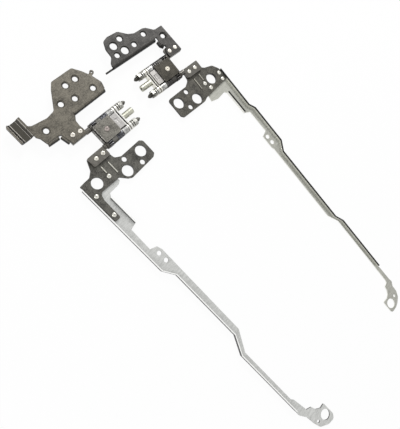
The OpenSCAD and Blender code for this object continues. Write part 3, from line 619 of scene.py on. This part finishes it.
# The friction bands, three to a hinge, which clip round both shafts and hold the lid where it is put.
# They are blanked from spring steel, blued, and shiny with grease where they grip.
band_looks = {
    "left": ((0.22, 0.222, 0.24), (0.02, 0.021, 0.025)),
    "right": ((0.10, 0.097, 0.094), (0.03, 0.029, 0.028)),
}
for side, (pale, dark) in band_looks.items():
    line = shaft_line[side + "_lid"]
    spring = turned_metal(side + "_band_steel", line, pale, dark, rough=0.36, contrast=0.2)
    edge = rubbed_edge(side + "_band_edge", toned(pale, 1.3), rough=0.4)
    finish_node(side + "_friction_bands", spring, edge, rounding=0.07)

# The covers over the gear train, one above and one below, and the rivet that holds them.
# They are thin satin steel sheet, grey on the left hinge and darker brown on the right one. The rivet
# goes through both covers and the core block.
cover_rivet_head = 3.0
cover_looks = {
    "left": ((0.235, 0.224, 0.197), (0.085, 0.0815, 0.072), (0.66, 0.64, 0.6)),
    "right": ((0.068, 0.062, 0.05), (0.026, 0.024, 0.019), (0.16, 0.15, 0.13)),
}
cover_rivet_looks = {
    "left": ((0.34, 0.30, 0.28), (0.19, 0.162, 0.15)),
    "right": ((0.55, 0.52, 0.45), (0.36, 0.34, 0.29)),
}
# The upright colour is painted shade, and the pale rim colour on the edge rounding is a painted highlight.
for side, (pale, dark, rim) in cover_looks.items():
    cover = sheet_steel(side + "_cover_sheet", pale, dark, toned(dark, 0.5), rough=0.4,
                        metallic=0.75, stain=0.27, grain_turn=math.pi / 2)
    edge = rubbed_edge(side + "_cover_edge_highlight", rim, rough=0.24)
    finish_node(side + "_cover_plates", cover, edge, rounding=0.09)
    node = side + "_cover_rivet"
    rivet = headed_rivet(node, *cover_rivet_looks[side], cover_rivet_head, rough=0.42)
    finish_node(node, rivet, rounding=0.1)

# The collars on the shafts and the spacer block between them.
# They are turned and ground from steel, bright and streaked, and space the link plates from the
# housing.
for shaft, line in shaft_line.items():
    collar = turned_metal(
        shaft + "_collar_steel", line, (0.58, 0.58, 0.565), (0.26, 0.258, 0.248), contrast=0.2)
    edge = rubbed_edge(shaft + "_collar_edge", (0.3, 0.295, 0.28))
    finish_node(shaft + "_collar", collar, edge, rounding=0.06)
spacer_looks = {
    "left": ((0.58, 0.565, 0.55), (0.30, 0.29, 0.28)),
    "right": ((0.56, 0.54, 0.52), (0.29, 0.28, 0.265)),
}
for side, (pale, dark) in spacer_looks.items():
    # Their upright faces are painted darker as painted shade.
    ground = sheet_steel(side + "_spacer_steel", pale, dark, toned(dark, 0.5), rough=0.3,
                         stain=0.45, grain_turn=math.pi / 2)
    edge = rubbed_edge(side + "_spacer_edge", toned(dark, 0.8), rough=0.2)
    finish_node(side + "_spacer_block", ground, edge, rounding=0.06)

# The two link plates that join the shafts at the spring end, and the washers between them.
# They are bright blanked steel. A near-black strip of spring steel fills the gap between them beside
# the washers, as painted shade in that narrow gap.
link_looks = {"left": (0.92, 0.91, 0.87), "right": (0.80, 0.785, 0.72)}
for side, pale in link_looks.items():
    line = line_of(side + "_housing_turn", side + "_lid_turn")
    link = turned_metal(side + "_link_steel", line, pale, toned(pale, 0.66), rings=1200.0)
    edge = rubbed_edge(side + "_link_edge", pale, rough=0.2)
    finish_node(side + "_link_plates", link, edge, rounding=0.05)
    # Painted shade: the strip's near-black colours stand in for the shade in the gap.
    packing = sheet_steel(
        side + "_gap_shade_steel", (0.02, 0.02, 0.019), (0.009, 0.009, 0.009), (0.012, 0.012, 0.011),
        rough=0.5, metallic=0.6)
    edge = rubbed_edge(side + "_gap_shade_edge", (0.03, 0.03, 0.028))
    finish_node(side + "_link_packing", packing, edge, rounding=0.05)
for shaft, line in shaft_line.items():
    washer = turned_metal(shaft + "_washer_steel", line, (0.45, 0.44, 0.40), (0.12, 0.115, 0.1))
    finish_node(shaft + "_washer", washer, rubbed_edge(shaft + "_washer_edge", (0.5, 0.49, 0.44)))

# The disc springs on the threaded ends, four to a shaft.
# Each is a dished ring of spring steel, pale zinc-plated, with grease in the gaps between them.
for shaft, line in shaft_line.items():
    discs = turned_metal(
        shaft + "_spring_steel", line, (0.72, 0.715, 0.67), (0.19, 0.187, 0.175), contrast=0.18)
    edge = rubbed_edge(shaft + "_spring_edge", (0.74, 0.735, 0.69), rough=0.24)
    finish_node(shaft + "_springs", discs, edge, rounding=0.05)

# The lock nuts that set the pressure on the springs.
# They are milled from bar and zinc-plated. The right hinge's are darker.
nut_looks = {
    "left": ((0.60, 0.597, 0.56), (0.13, 0.128, 0.12)),
    "right": ((0.38, 0.375, 0.34), (0.05, 0.049, 0.044)),
}
for shaft, line in shaft_line.items():
    pale, dark = nut_looks[side_of(shaft)]
    nut = turned_metal(shaft + "_nut_zinc", line, pale, dark, contrast=0.16)
    edge = rubbed_edge(shaft + "_nut_edge", toned(pale, 1.25), rough=0.22)
    finish_node(shaft + "_nut", nut, edge, rounding=0.08)

# The cap post between the shafts, which the hinge's cap is screwed to.
# It is turned, passivated pale yellow, riveted through the link plates, and drilled for the screw.
# The post's drilled hole is painted near black as painted shade.
post_bore = 0.82
for side in ("left", "right"):
    line = line_of(side + "_housing_turn", side + "_lid_turn")
    post = turned_metal(side + "_post_plating", line, (0.60, 0.60, 0.51), (0.33, 0.33, 0.275),
                        rough=0.34, rings=2600.0, shaded_bore=post_bore)
    edge = rubbed_edge(side + "_post_edge", (0.62, 0.62, 0.53))
    finish_node(side + "_cap_post", post, edge, rounding=0.08)

# The lid brackets, which the arms and the lid are fixed to, with the rivets through their feet.
# They are blanked from dark plated steel, with holes for the lid's bosses and two pressed ribs.
# Their upright faces are painted near black as painted shade, and the crowns of the ribs are painted
# pale as a painted highlight.
rib_rise = (-0.82, -0.72)
lid_looks = {
    "left": ((0.135, 0.13, 0.113), (0.033, 0.031, 0.027), (0.018, 0.017, 0.015), (0.5, 0.49, 0.43)),
    "right": ((0.115, 0.109, 0.09), (0.026, 0.0245, 0.02), (0.016, 0.015, 0.013), (0.32, 0.31, 0.26)),
}
for side, (pale, dark, painted_upright_shading, rib_highlight) in lid_looks.items():
    # The upright colour is painted shade, the rib colour a painted highlight.
    plated = sheet_steel(side + "_lid_steel", pale, dark, painted_upright_shading, rough=0.4, metallic=0.4, stain=0.27,
                         painted_raised_shading=(rib_highlight, *rib_rise))
    edge = rubbed_edge(side + "_lid_edge", toned(pale, 0.3))
    finish_node(side + "_lid_bracket", plated, edge, rounding=0.17)
    node = side + "_lid_foot_rivets"
    finish_node(node, headed_rivet(node, (0.72, 0.70, 0.63), (0.44, 0.42, 0.37), foot_rivet_head))

# The long arms along the sides of the screen, with the rivets that hold them to the lid brackets.
# They are pressed from zinc-coated sheet 0.7 mm thick, with folded flanges, brushed along their length.
# Their bends are painted darker as painted shade. The left arm's upright faces are painted near black as
# painted shade and its flange tops white as a painted highlight; the right arm's upright faces are
# painted pale as painted light and its flange tops near black as painted shade.
arm_rivet_head = 2.5
arm_looks = {
    "left": ((0.70, 0.705, 0.685), (0.44, 0.445, 0.43), (0.02, 0.02, 0.019)),
    "right": ((0.52, 0.52, 0.47), (0.30, 0.302, 0.27), (0.85, 0.85, 0.8)),
}
flange_top_shading = {
    "left": ((0.92, 0.92, 0.9), -0.56, -0.5),
    "right": ((0.02, 0.02, 0.018), -1.2, -1.05),
}
for side, (pale, dark, painted_upright_shading) in arm_looks.items():
    # The upright, bend and flange-top colours here are painted light and shade.
    zinc = sheet_steel(side + "_arm_zinc", pale, dark, painted_upright_shading, rough=0.36, metallic=0.7, stain=0.9,
                       wall_to=0.5, relief=0.08, grain_turn=math.pi / 2, brushed=1.1, brush_fine=1400.0,
                       bend=(toned(pale, 0.3), 0.6, 0.9), painted_raised_shading=flange_top_shading[side])
    edge = rubbed_edge(side + "_arm_edge", toned(dark, 0.7))
    finish_node(side + "_arm", zinc, edge, rounding=0.06)
    node = side + "_arm_rivets"
    finish_node(node, headed_rivet(node, (0.72, 0.71, 0.65), (0.45, 0.44, 0.39), arm_rivet_head))
